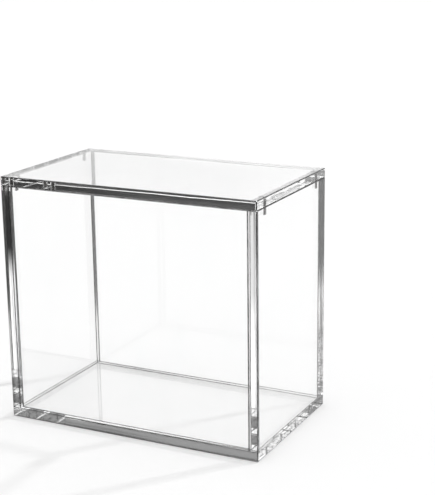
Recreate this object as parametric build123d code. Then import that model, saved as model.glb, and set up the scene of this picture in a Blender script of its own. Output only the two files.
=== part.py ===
from build123d import *
import os

# Clear acrylic display case for a boxed set of card packs, with a loose lid held by
# magnets. It stands on z = 0, centred on the z axis, with its front towards -Y and its
# right side towards +X. All sizes are in millimetres.

# The sheets
CASE_WIDTH = 150.0      # outside, left to right
CASE_DEPTH = 88.0       # outside, front to rear
WALL_HEIGHT = 126.0     # from the top of the base to the rim, which is the room inside
BASE_THICKNESS = 5.0
WALL_THICKNESS = 5.0
LID_THICKNESS = 5.0
EDGE_BREAK = 0.5        # small flat polished along every outside edge

# The magnets, which face each other in pairs: one in the rim and one in the lid
MAGNET_DIAMETER = 3.0
MAGNET_LENGTH = 4.0
MAGNET_EDGE_BREAK = 0.15
MAGNET_SETBACK = 11.0   # from the case's front or rear face to the magnet's axis
POCKET_CLEARANCE = 0.05  # all round a magnet in its pocket
MAGNET_RECESS = 0.1     # how far a magnet's face lies below the face of its sheet

BASE_TOP = BASE_THICKNESS
RIM = BASE_TOP + WALL_HEIGHT
LID_TOP = RIM + LID_THICKNESS
POCKET_RADIUS = MAGNET_DIAMETER / 2 + POCKET_CLEARANCE
POCKET_DEPTH = MAGNET_LENGTH + MAGNET_RECESS


def block(size_x, size_y, bottom, top):
    """An upright block centred on the z axis, between two heights."""
    return Pos(0, 0, bottom) * Box(
        size_x, size_y, top - bottom, align=(Align.CENTER, Align.CENTER, Align.MIN))


def with_broken_edges(bottom, top):
    """A block of the case's full width and depth, with every edge broken."""
    outline = block(CASE_WIDTH, CASE_DEPTH, bottom, top)
    return chamfer(outline.edges(), EDGE_BREAK)


def magnet_places():
    """The name and the axis of each magnet, which stands in the middle of a side wall."""
    across = CASE_WIDTH / 2 - WALL_THICKNESS / 2
    along = CASE_DEPTH / 2 - MAGNET_SETBACK
    for side, x in (("left", -across), ("right", across)):
        for end, y in (("front", -along), ("rear", along)):
            yield f"{end}_{side}", x, y


def pockets(mouth, into):
    """Flat-ended magnet pockets. They open at the height mouth and run up or down."""
    low = min(mouth, mouth + into * POCKET_DEPTH)
    from_low = (Align.CENTER, Align.CENTER, Align.MIN)
    bore = Cylinder(POCKET_RADIUS, POCKET_DEPTH, align=from_low)
    return [Pos(x, y, low) * bore for _, x, y in magnet_places()]


def magnets(prefix, mouth, into):
    """One magnet at the end of each pocket, a little below the mouth."""
    middle = mouth + into * (MAGNET_RECESS + MAGNET_LENGTH / 2)
    slug = Cylinder(MAGNET_DIAMETER / 2, MAGNET_LENGTH)
    slug = chamfer(slug.edges().filter_by(GeomType.CIRCLE), MAGNET_EDGE_BREAK)
    return {f"{prefix}_magnet_{name}": Pos(x, y, middle) * slug for name, x, y in magnet_places()}


def case_sheets():
    """The base and the four walls that stand on it, bonded edge to face.

    The side walls run from front to rear, and the front and rear walls fit between them.
    The outside edges are broken after bonding, so they run on from sheet to sheet.
    """
    outside = with_broken_edges(0, RIM)
    between_sides = CASE_WIDTH - 2 * WALL_THICKNESS
    side_x = (CASE_WIDTH - WALL_THICKNESS) / 2
    front_y = (CASE_DEPTH - WALL_THICKNESS) / 2
    base = block(CASE_WIDTH, CASE_DEPTH, 0, BASE_TOP)
    side = block(WALL_THICKNESS, CASE_DEPTH, BASE_TOP, RIM)
    end = block(between_sides, WALL_THICKNESS, BASE_TOP, RIM)
    return {
        "base_plate": base & outside,
        "left_wall": (Pos(-side_x, 0, 0) * side & outside) - pockets(RIM, -1),
        "right_wall": (Pos(side_x, 0, 0) * side & outside) - pockets(RIM, -1),
        "front_wall": Pos(0, -front_y, 0) * end & outside,
        "rear_wall": Pos(0, front_y, 0) * end & outside,
    }


def lid_sheet():
    """The loose lid, a plain plate as large as the case, with its pockets underneath."""
    return {"lid_plate": with_broken_edges(RIM, LID_TOP) - pockets(RIM, 1)}


parts = {
    **case_sheets(),
    **lid_sheet(),
    **magnets("case", RIM, -1),
    **magnets("lid", RIM, 1),
}

os.makedirs("parts", exist_ok=True)
for name, shape in parts.items():
    export_step(shape, f"parts/{name}.step")
    print(name, [round(size, 3) for size in shape.bounding_box().size])
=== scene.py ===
"""The looks of a clear acrylic display case for a carton of card packs.

The case is bonded from five flat sheets. Its lid is a loose sheet that rests on the rim, and
eight small magnets, four in the rim and four in the lid, keep it in place.
"""

import math

import bmesh
import bpy
from mathutils import Matrix, Vector


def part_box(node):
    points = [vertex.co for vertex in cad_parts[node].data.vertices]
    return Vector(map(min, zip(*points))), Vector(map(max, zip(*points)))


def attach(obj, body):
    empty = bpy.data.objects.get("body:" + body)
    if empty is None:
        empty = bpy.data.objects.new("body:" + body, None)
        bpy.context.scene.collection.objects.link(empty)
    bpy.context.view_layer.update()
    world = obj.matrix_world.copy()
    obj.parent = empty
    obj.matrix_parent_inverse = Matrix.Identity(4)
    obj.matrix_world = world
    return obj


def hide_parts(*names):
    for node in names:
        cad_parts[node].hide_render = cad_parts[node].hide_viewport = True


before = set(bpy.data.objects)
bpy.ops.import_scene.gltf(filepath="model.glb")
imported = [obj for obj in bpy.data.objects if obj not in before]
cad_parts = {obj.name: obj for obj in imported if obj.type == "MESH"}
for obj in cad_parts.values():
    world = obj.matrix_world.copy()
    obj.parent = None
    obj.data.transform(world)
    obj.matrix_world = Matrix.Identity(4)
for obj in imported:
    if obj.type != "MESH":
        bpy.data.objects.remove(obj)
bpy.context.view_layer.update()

# ---------------------------------------------------------------------------
# Base. One sheet of 5 mm cast acrylic as large as the case's footprint, milled to size and
# polished on its edges. The four walls stand on it, bonded with solvent.

base_low, base_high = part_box("base_plate")
wall_low, wall_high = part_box("front_wall")
rim_height = wall_high.z
wall_thickness = wall_high.y - wall_low.y
room = Vector((base_high.x - wall_thickness, base_high.y - wall_thickness))  # half of the inside
arris = 0.0005  # radius that polishing leaves along an outside edge
arris_facets = 3
bond_film = 0.000005  # between two bonded sheets
margin_width = 0.0006  # of the dark line along the margins of a bond
flat = 0.999  # how square to an axis the normal of a flat face is
weld = 1e-7  # points closer than this to a cutting plane lie on it
acrylic_ior = 1.49

# The finishes of a sheet, in the order of its material slots
FACE, EDGE_X, EDGE_Y, EDGE_Z, ARRIS, FOOT_BOND, UPRIGHT_BOND = range(7)


class Socket:
    """A shader value that Python's operators work on, each adding its Math node."""

    def __init__(self, shader, socket):
        self.shader = shader
        self.socket = socket

    def maths(self, operation, *values):
        return self.shader.node("ShaderNodeMath", {"operation": operation}, dict(enumerate(values)))

    def __add__(self, other):
        return self.maths("ADD", self, other)

    def __sub__(self, other):
        return self.maths("SUBTRACT", self, other)

    def __rsub__(self, other):
        return self.maths("SUBTRACT", other, self)

    def __mul__(self, other):
        return self.maths("MULTIPLY", self, other)

    __radd__ = __add__
    __rmul__ = __mul__

    def __abs__(self):
        return self.maths("ABSOLUTE", self)

    def sine(self):
        return self.maths("SINE", self)

    def along(self, axis):
        """What a place or a direction measures along one axis."""
        return self.shader.node("ShaderNodeSeparateXYZ", None, {"Vector": self}, axis)

    def over(self, low, high):
        """0 below low, 1 above high and a smooth climb between."""
        settings = {"interpolation_type": "SMOOTHSTEP"}
        values = {"Value": self, "From Min": low, "From Max": high}
        return self.shader.node("ShaderNodeMapRange", settings, values)


class Shader:
    """A node tree that takes any node, with its settings and the values of its sockets."""

    def __init__(self, owner):
        owner.use_nodes = True
        self.tree = owner.node_tree
        self.tree.nodes.clear()

    def node(self, kind, settings=None, values=None, output=0):
        made = self.tree.nodes.new(kind)
        for name, setting in (settings or {}).items():
            setattr(made, name, setting)
        for name, value in (values or {}).items():
            if isinstance(value, Socket):
                self.tree.links.new(value.socket, made.inputs[name])
            else:
                made.inputs[name].default_value = value
        return Socket(self, made.outputs[output]) if made.outputs else None

    def place(self, per_metre):
        """The piece's own coordinates, with so many units of a pattern in a metre on each axis."""
        place = self.node("ShaderNodeTexCoord", output="Object")
        return self.node("ShaderNodeMapping", None, {"Vector": place, "Scale": per_metre})

    def noise(self, per_metre, detail):
        """Soft random patches between 0 and 1, so many of them in a metre on each axis."""
        values = {"Vector": self.place(per_metre), "Scale": 1.0, "Detail": detail}
        return self.node("ShaderNodeTexNoise", None, values)

    def bump(self, height, depth):
        """Normals of a surface that rises and falls by depth, in metres."""
        return self.node("ShaderNodeBump", None, {"Height": height, "Distance": depth})

    def blend(self, factor, first, second):
        """A mix of two colours, each given as red, green and blue or by another node."""
        values = {"Factor": factor}
        for name, colour in (("A", first), ("B", second)):
            values[name] = colour if isinstance(colour, Socket) else (*colour, 1)
        return self.node("ShaderNodeMix", {"data_type": "RGBA"}, values, "Result")

    def end_in(self, kind, surface):
        self.node(kind, None, {"Surface": surface})


def acrylic(name, shade, finish):
    """Clear acrylic with a surface finish. Light that falls through it onto other things goes
    straight on, dimmed to shade."""
    material = bpy.data.materials.new(name)
    shader = Shader(material)
    values = {"IOR": acrylic_ior, "Transmission Weight": 1.0, **finish(shader)}
    surface = shader.node("ShaderNodeBsdfPrincipled", None, values)
    straight = shader.node("ShaderNodeBsdfTransparent", None, {"Color": (shade, shade, shade, 1)})
    for ray in ("Is Shadow Ray", "Is Diffuse Ray"):
        meets = shader.node("ShaderNodeLightPath", output=ray)
        surface = shader.node("ShaderNodeMixShader", None, {0: meets, 1: surface, 2: straight})
    shader.end_in("ShaderNodeOutputMaterial", surface)
    return material


def cast_face(shader):
    """The sheet's own face: glassy, with a faint wave and a few patches dulled by wiping."""
    wave = shader.noise((26, 22, 24), detail=1)
    wiped = shader.noise((70, 70, 18), detail=5)
    return {
        "Base Color": shader.blend(wiped.over(0.5, 0.75), (0.99, 0.99, 0.99), (0.975, 0.98, 0.98)),
        "Roughness": wiped.over(0.58, 0.8) * 0.025,
        "Normal": shader.bump(wave, 0.00004),
    }


def polished_along(axis):
    """A milled and polished edge, with cutter streaks that run along one axis. The streaks are also
    painted dark and the edge's reflections dimmed: painted shade for the dark room seen within an
    edge.
    """
    per_metre = [420, 420, 420]
    per_metre[axis] = 5

    def finish(shader):
        streaks_and_shade = shader.noise(per_metre, detail=4)
        ripple = shader.noise((110, 110, 110), detail=2)
        return {
            # Painted shade: dark streaks and a dimmed reflection stand in for the dark room seen
            # within the edge
            "Base Color": shader.blend(streaks_and_shade.over(0.46, 0.64), (1.0, 1.0, 1.0), (0.25, 0.25, 0.25)),
            "Specular Tint": (0.35, 0.35, 0.35, 1),
            "Roughness": 0.015 + streaks_and_shade.over(0.4, 0.75) * 0.07,
            "Normal": shader.bump(streaks_and_shade * 0.12 + ripple, 0.00003),
        }

    return finish


def broken_edge(shader):
    """The narrow round between two polished faces, a little scuffed, painted near-black with a dimmed
    reflection: painted shade for the dark line that a rounded edge shows. Dried solvent beside a
    joint is given the same finish."""
    scuff = shader.noise((600, 600, 600), detail=4)
    return {
        # Painted shade: near-black colour and a dimmed reflection for the dark line along a rounded
        # edge
        "Base Color": shader.blend(scuff.over(0.35, 0.65), (0.02, 0.02, 0.02), (0.12, 0.12, 0.12)),
        "Specular Tint": (0.15, 0.15, 0.15, 1),
        "Roughness": 0.06 + scuff * 0.12,
    }


def solvent_bond(name, thin, thick, across, extra_film):
    """The film between two bonded sheets, with tiny bubbles shut in and a dark line of squeezed
    solvent along its margins. It hides from thin to thick of what is behind it. across gives
    how far a place is under a wall, from how far it is past the room on each axis, and
    extra_film gives how much more the film hides at a place."""
    material = bpy.data.materials.new(name)
    shader = Shader(material)
    cells = {"Vector": shader.place((2600, 2600, 2600)), "Scale": 1.0}
    from_bubble = shader.node("ShaderNodeTexVoronoi", {"feature": "F1"}, cells)
    few = shader.noise((70, 70, 70), detail=2)
    bubbles = (1 - from_bubble.over(0.16, 0.24)) * few.over(0.52, 0.6)
    flow = shader.noise((160, 160, 40), detail=4)
    place = shader.node("ShaderNodeTexCoord", output="Object")
    x, y, z = (place.along(axis) for axis in "XYZ")
    under_wall = across(abs(x) - room.x, abs(y) - room.y)
    from_margin = wall_thickness / 2 - abs(under_wall - wall_thickness / 2)
    margin = 1 - from_margin.over(0.2 * margin_width, margin_width)
    film = thin + flow.over(0.35, 0.65) * (thick - thin)
    values = {
        "Base Color": shader.blend(bubbles, (0.04, 0.04, 0.04), (0.8, 0.8, 0.8)),
        "Roughness": 0.5,
        "Alpha": film + bubbles * 0.3 + margin * 0.55 + extra_film(x, y, z),
    }
    shader.end_in("ShaderNodeOutputMaterial", shader.node("ShaderNodeBsdfPrincipled", None, values))
    return material


def nowhere(x, y, z):
    """No place where the film hides more."""
    return 0


def upper_rear_left(x, y, z):
    """The film hides more in the joint at the rear left corner, most from halfway up to the rim."""
    return (0 - x).over(0, 0.001) * y.over(0, 0.001) * z.over(0.028, 0.06) * 0.75


sheet_finishes = [
    acrylic("acrylic_face", 0.985, cast_face),
    acrylic("acrylic_edge_across", 0.72, polished_along(0)),
    acrylic("acrylic_edge_deep", 0.72, polished_along(1)),
    acrylic("acrylic_edge_upright", 0.72, polished_along(2)),
    acrylic("acrylic_arris", 0.5, broken_edge),
    solvent_bond("acrylic_bond_foot", 0.03, 0.1, lambda x, y: x.maths("MAXIMUM", x, y), nowhere),
    solvent_bond("acrylic_bond_upright", 0.08, 0.22, lambda x, y: y, upper_rear_left),
]


def rounded_block(low, high):
    """A block between two corners, with every edge rounded as polishing leaves it."""
    bm = bmesh.new()
    bmesh.ops.create_cube(bm, size=1)
    place = Matrix.LocRotScale((low + high) / 2, None, high - low)
    bmesh.ops.transform(bm, matrix=place, verts=bm.verts)
    bmesh.ops.bevel(
        bm, geom=bm.edges[:], offset=arris, offset_type="OFFSET", segments=arris_facets,
        profile=0.5, affect="EDGES", material=-1)
    return bm


def whole_case():
    """The closed outline of the five bonded sheets."""
    return rounded_block(base_low, Vector((base_high.x, base_high.y, rim_height)))


def score(bm, point, normal):
    """Cuts all faces at a plane and keeps both sides."""
    everything = bm.verts[:] + bm.edges[:] + bm.faces[:]
    return bmesh.ops.bisect_plane(
        bm, geom=everything, plane_co=point, plane_no=normal, dist=weld)


def saw(bm, point, normal):
    """Cuts at a plane, drops the side that normal points into and closes the cut."""
    cut = score(bm, point, normal)["geom_cut"]
    side = Vector(normal)
    beyond = [vert for vert in bm.verts if (vert.co - Vector(point)).dot(side) > 10 * weld]
    bmesh.ops.delete(bm, geom=beyond, context="VERTS")
    open_edges = [part for part in cut if isinstance(part, bmesh.types.BMEdge) and part.is_valid]
    bmesh.ops.contextual_create(bm, geom=open_edges)


def give_finishes(bm, wide_axis, is_bonded, is_seam=lambda at: False):
    """Chooses each face's finish, for a sheet whose wide faces are square to wide_axis.
    is_bonded looks at the middle and the normal of a face, and is_seam at its middle."""
    bmesh.ops.recalc_face_normals(bm, faces=bm.faces)
    for face in bm.faces:
        square = [axis for axis in range(3) if abs(face.normal[axis]) > flat]
        if not square:
            face.material_index = ARRIS
        elif is_bonded(face.calc_center_median(), face.normal):
            face.material_index = FOOT_BOND if square[0] == 2 else UPRIGHT_BOND
        elif is_seam(face.calc_center_median()):
            face.material_index = ARRIS
        elif square[0] == wide_axis:
            face.material_index = FACE
        else:
            runs_along = 3 - wide_axis - square[0]
            face.material_index = (EDGE_X, EDGE_Y, EDGE_Z)[runs_along]


def piece(name, bm, materials, body, node):
    """Makes a bmesh into a piece that stands for a node, rides on a body and has the given materials
    in its slots.
    """
    mesh = bpy.data.meshes.new(name)
    bm.to_mesh(mesh)
    bm.free()
    for material in materials:
        mesh.materials.append(material)
    made = bpy.data.objects.new(name, mesh)
    bpy.context.scene.collection.objects.link(made)
    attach(made, body)
    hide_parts(node)
    return made


base = whole_case()
saw(base, (0, 0, base_high.z - bond_film), (0, 0, 1))
for side in (-1, 1):
    score(base, (side * room.x, 0, 0), (1, 0, 0))
    score(base, (0, side * room.y, 0), (0, 1, 0))
give_finishes(
    base, 2, lambda at, normal: normal.z > flat and (abs(at.x) > room.x or abs(at.y) > room.y))
piece("base_sheet", base, sheet_finishes, "case", "base_plate")

# ---------------------------------------------------------------------------
# Side walls. Sheets of the same acrylic as deep as the base, which overlap the ends of the
# front and rear walls. Two magnet pockets are drilled into the top edge of each.

magnet_low, magnet_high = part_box("case_magnet_front_left")
magnet_radius = (magnet_high.x - magnet_low.x) / 2
pocket_clearance = 0.00005  # all round a magnet
round_facets = 48  # of a pocket or a magnet
drill_start = 0.001  # how far outside the sheet the drill starts
seam = 0.0004  # how far squeezed-out solvent stains a wall beside a joint


def reamed(shader):
    """The wall of a drilled pocket, with the drill's rings."""
    rings = shader.noise((60, 60, 5200), detail=2)
    return {
        "Base Color": (0.9, 0.9, 0.9, 1),
        "Roughness": 0.03 + rings * 0.06,
        "Normal": shader.bump(rings, 0.00002),
    }


POCKET = len(sheet_finishes)
sheet_finishes.append(acrylic("acrylic_pocket", 0.7, reamed))


def drill(sheet, magnet_nodes, mouth):
    """Drills a flat-ended pocket for each magnet into the face at the height mouth."""
    bits = bmesh.new()
    for node in magnet_nodes:
        low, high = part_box(node)
        far = low.z if abs(low.z - mouth) > abs(high.z - mouth) else high.z
        into = math.copysign(1, far - mouth)
        end, start = far + into * bond_film, mouth - into * drill_start
        middle = Vector(((low.x + high.x) / 2, (low.y + high.y) / 2, (end + start) / 2))
        bmesh.ops.create_cone(
            bits, cap_ends=True, segments=round_facets, radius1=magnet_radius + pocket_clearance,
            radius2=magnet_radius + pocket_clearance, depth=abs(end - start),
            matrix=Matrix.Translation(middle))
    for face in bits.faces:
        face.material_index = POCKET
    mesh = bpy.data.meshes.new("drill")
    bits.to_mesh(mesh)
    bits.free()
    for material in sheet_finishes:
        mesh.materials.append(material)
    cutter = bpy.data.objects.new("drill", mesh)
    bpy.context.scene.collection.objects.link(cutter)
    cut = sheet.modifiers.new("pockets", "BOOLEAN")
    cut.object, cut.operation, cut.solver = cutter, "DIFFERENCE", "EXACT"
    cut.material_mode = "INDEX"
    drilled = bpy.data.meshes.new_from_object(
        sheet.evaluated_get(bpy.context.evaluated_depsgraph_get()))
    sheet.modifiers.remove(cut)
    sheet.data = drilled
    bpy.data.objects.remove(cutter)


def beside_joint(at):
    """Whether a place on the surface of a wall lies along a joint."""
    at_end = abs(abs(at.x) - room.x) < seam and abs(at.y) > room.y - seam
    return at.z < base_high.z + seam or at_end


def mark_seams(wall):
    """Cuts a wall's faces along the lines that beside_joint looks at."""
    score(wall, (0, 0, base_high.z + seam), (0, 0, 1))
    for side in (-1, 1):
        score(wall, (0, side * (room.y - seam), 0), (0, 1, 0))
        for off in (-seam, seam):
            score(wall, (side * (room.x + off), 0, 0), (1, 0, 0))


for name, side in (("left", -1), ("right", 1)):
    wall = whole_case()
    saw(wall, (side * room.x, 0, 0), (-side, 0, 0))
    saw(wall, (0, 0, base_high.z + bond_film), (0, 0, -1))
    for end in (-1, 1):
        score(wall, (0, end * room.y, 0), (0, 1, 0))
    mark_seams(wall)
    give_finishes(wall, 0, lambda at, normal: (
        normal.z < -flat or (normal.x * side < -flat and abs(at.y) > room.y)), beside_joint)
    sheet = piece(f"{name}_sheet", wall, sheet_finishes, "case", f"{name}_wall")
    drill(sheet, [f"case_magnet_{end}_{name}" for end in ("front", "rear")], rim_height)

# ---------------------------------------------------------------------------
# Front and rear walls. Sheets of the same acrylic that stand between the side walls, bonded to
# them along both upright edges and to the base along the bottom.

for name, end in (("front", -1), ("rear", 1)):
    wall = whole_case()
    saw(wall, (0, end * room.y, 0), (0, -end, 0))
    saw(wall, (0, 0, base_high.z + bond_film), (0, 0, -1))
    for side in (-1, 1):
        saw(wall, (side * (room.x - bond_film), 0, 0), (side, 0, 0))
    mark_seams(wall)
    give_finishes(
        wall, 1, lambda at, normal: normal.z < -flat or abs(normal.x) > flat, beside_joint)
    piece(f"{name}_sheet", wall, sheet_finishes, "case", f"{name}_wall")

# ---------------------------------------------------------------------------
# Lid. A loose sheet of the same acrylic, as large as the case, that rests on the rim with air
# between. Four magnet pockets are drilled into its underside, over those in the rim.

lid_low, lid_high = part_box("lid_plate")
air_film = Vector((0, 0, 0.00002))  # polished faces that only rest on each other

lid = rounded_block(lid_low + air_film, lid_high)
give_finishes(lid, 2, lambda at, normal: False)
lid_sheet = piece("lid_sheet", lid, sheet_finishes, "lid", "lid_plate")
corners = [f"{end}_{side}" for end in ("front", "rear") for side in ("left", "right")]
drill(lid_sheet, [f"lid_magnet_{corner}" for corner in corners], lid_low.z)

# ---------------------------------------------------------------------------
# Magnets. Neodymium discs with nickel plating, pushed to the end of their pockets. Their colour
# is painted near-black: painted shade for the dark room they reflect. Tumbling before plating
# rounds their rims.

magnet_round = 0.00015  # radius of a disc's rim
crease = math.radians(40)  # faces at more than this angle meet in a sharp edge


def nickel_painted_dark():
    """Nickel, a little dimpled and uneven, painted near-black and darker still at a grazing angle:
    painted shade for the dark room it reflects.
    """
    material = bpy.data.materials.new("nickel_painted_dark")
    shader = Shader(material)
    grain = shader.noise((1500, 1500, 1500), detail=4)
    dimples = shader.noise((420, 420, 420), detail=2)
    values = {
        "Metallic": 1.0,
        # Painted shade: a near-black colour and a dark grazing tint stand in for dark reflections
        "Specular Tint": (0.1, 0.1, 0.1, 1),
        "Base Color": shader.blend(grain.over(0.35, 0.7), (0.16, 0.155, 0.148), (0.05, 0.049, 0.047)),
        "Roughness": 0.1 + grain * 0.16,
        "Normal": shader.bump(dimples, 0.00004),
    }
    shader.end_in("ShaderNodeOutputMaterial", shader.node("ShaderNodeBsdfPrincipled", None, values))
    return material


nickel = nickel_painted_dark()
for body in ("case", "lid"):
    for corner in corners:
        low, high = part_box(f"{body}_magnet_{corner}")
        disc = bmesh.new()
        bmesh.ops.create_cone(
            disc, cap_ends=True, segments=round_facets, radius1=magnet_radius,
            radius2=magnet_radius, depth=high.z - low.z,
            matrix=Matrix.Translation((low + high) / 2))
        rims = [edge for edge in disc.edges if abs(edge.verts[0].co.z - edge.verts[1].co.z) < weld]
        bmesh.ops.bevel(
            disc, geom=rims, offset=magnet_round, offset_type="OFFSET", segments=arris_facets,
            profile=0.5, affect="EDGES", material=-1)
        for face in disc.faces:
            face.smooth = abs(face.normal.z) < flat
        for edge in disc.edges:
            edge.smooth = edge.calc_face_angle(0) < crease
        node = f"{body}_magnet_{corner}"
        piece(f"{body}_disc_{corner}", disc, [nickel], body, node)

# ---------------------------------------------------------------------------
# Studio. White paper under a white tent, and one far lamp behind on the right. Light that has
# been turned back within a sheet comes from a darker room further out, and meets painted shade
# on the paper: dark patches round the case and a pale one to its right, in place of cards.


def gathered(shader):
    """1 on a ray that has been reflected twice or more, as within the edge of a sheet."""
    return shader.node("ShaderNodeLightPath", output="Glossy Depth").over(1, 2)


def turned(way):
    """How far a place or a direction is turned from the rear to the right, in radians."""
    return way.maths("ARCTAN2", way.along("X"), way.along("Y"))


def between_dark_sectors(turn):
    """1 in the gaps between five dark sectors round the case, and 0 in a sector: a darker room for
    the light, and painted shade on the paper.
    """
    return (turn * 5 + math.radians(105)).sine().over(-0.3, 0.7)


paper = bpy.data.materials.new("paper")
shader = Shader(paper)
spot = shader.node("ShaderNodeTexCoord", output="Object")
distance = shader.node("ShaderNodeVectorMath", {"operation": "LENGTH"}, {0: spot}, "Value")
turn = turned(spot)
# Painted shade on the paper, seen only by light turned back within a sheet: dark patches, darker to
# the right, and a pale one, where no cards stand
painted_dark_patch = shader.blend(spot.along("X").over(-0.3, 0.0), (0.1, 0.1, 0.1), (0.01, 0.01, 0.01))
at_pale = turn.over(math.radians(26.5), math.radians(29.5)) * (1 - distance.over(0.56, 0.62))
painted_patch = shader.blend(at_pale, painted_dark_patch, (0.48, 0.48, 0.48))
unlit = gathered(shader) * distance.over(0.2, 0.32) * (1 - between_dark_sectors(turn))
tone = shader.blend(unlit, (0.78, 0.78, 0.78), painted_patch)
matt = shader.node("ShaderNodeBsdfDiffuse", None, {"Color": tone})
shader.end_in("ShaderNodeOutputMaterial", matt)

paper_reach = 6.0  # from the middle of the floor to its sides
paper_gap = 0.00005  # below the base

sheet_of_paper = bmesh.new()
bmesh.ops.create_grid(sheet_of_paper, x_segments=1, y_segments=1, size=paper_reach)
bmesh.ops.translate(sheet_of_paper, vec=(0, 0, -paper_gap), verts=sheet_of_paper.verts)
floor_mesh = bpy.data.meshes.new("floor")
sheet_of_paper.to_mesh(floor_mesh)
sheet_of_paper.free()
floor_mesh.materials.append(paper)
floor = bpy.data.objects.new("floor", floor_mesh)
bpy.context.scene.collection.objects.link(floor)

world = bpy.data.worlds.new("studio")
bpy.context.scene.world = world
shader = Shader(world)
way = shader.node("ShaderNodeTexCoord", output="Generated")
overhead = way.along("Z").over(0.14, 0.36) * 0.28 + way.along("Z").over(0.45, 0.62)
in_front = (0 - way.along("Y")).over(0.1, 0.6) * 0.6
dark_room = 0.02 + between_dark_sectors(turned(way)) * 0.5 + overhead + in_front
deep = gathered(shader)
light = {"Color": (1, 1, 1, 1), "Strength": 1 - deep + dark_room * deep}
shader.end_in("ShaderNodeOutputWorld", shader.node("ShaderNodeBackground", None, light))


def towards(azimuth, elevation):
    """The direction turned so many degrees from the front to the right, and raised."""
    turned_by, raised_by = math.radians(azimuth), math.radians(elevation)
    level = Vector((math.sin(turned_by), -math.cos(turned_by), 0))
    return level * math.cos(raised_by) + Vector((0, 0, math.sin(raised_by)))


lamp = bpy.data.lights.new("key", "SUN")
lamp.angle = math.radians(2.5)
lamp.energy = 1.5
key = bpy.data.objects.new("key", lamp)
bpy.context.scene.collection.objects.link(key)
key.rotation_mode = "QUATERNION"
key.rotation_quaternion = towards(141.5, 39.8).to_track_quat("Z", "Y")

scene = bpy.context.scene
scene.view_settings.view_transform = "Standard"
scene.cycles.caustics_reflective = False
scene.cycles.caustics_refractive = False
for limit in ("max_bounces", "glossy_bounces", "transmission_bounces", "transparent_max_bounces"):
    setattr(scene.cycles, limit, 40)
scene.cycles.blur_glossy = 0

# The camera stands to the front right and looks a little down. It aims above the case's middle
# and to the right of it.
back = towards(26.67, 14.88)
level = Vector((0, 0, 1)).cross(back).normalized()
rise = back.cross(level)
aim = Vector((0, -0.00329, 0.06588)) + level * 0.0296 + rise * 0.02777
roll = math.radians(-0.74)
right = level * math.cos(roll) + rise * math.sin(roll)
up = rise * math.cos(roll) - level * math.sin(roll)
camera = bpy.data.objects.new("camera", bpy.data.cameras.new("camera"))
scene.collection.objects.link(camera)
scene.camera = camera
camera.data.lens = 94.25
camera.data.clip_start, camera.data.clip_end = 0.01, 50
camera.location = aim + back * 0.70824
camera.rotation_mode = "QUATERNION"
camera.rotation_quaternion = Matrix((right, up, back)).transposed().to_quaternion()
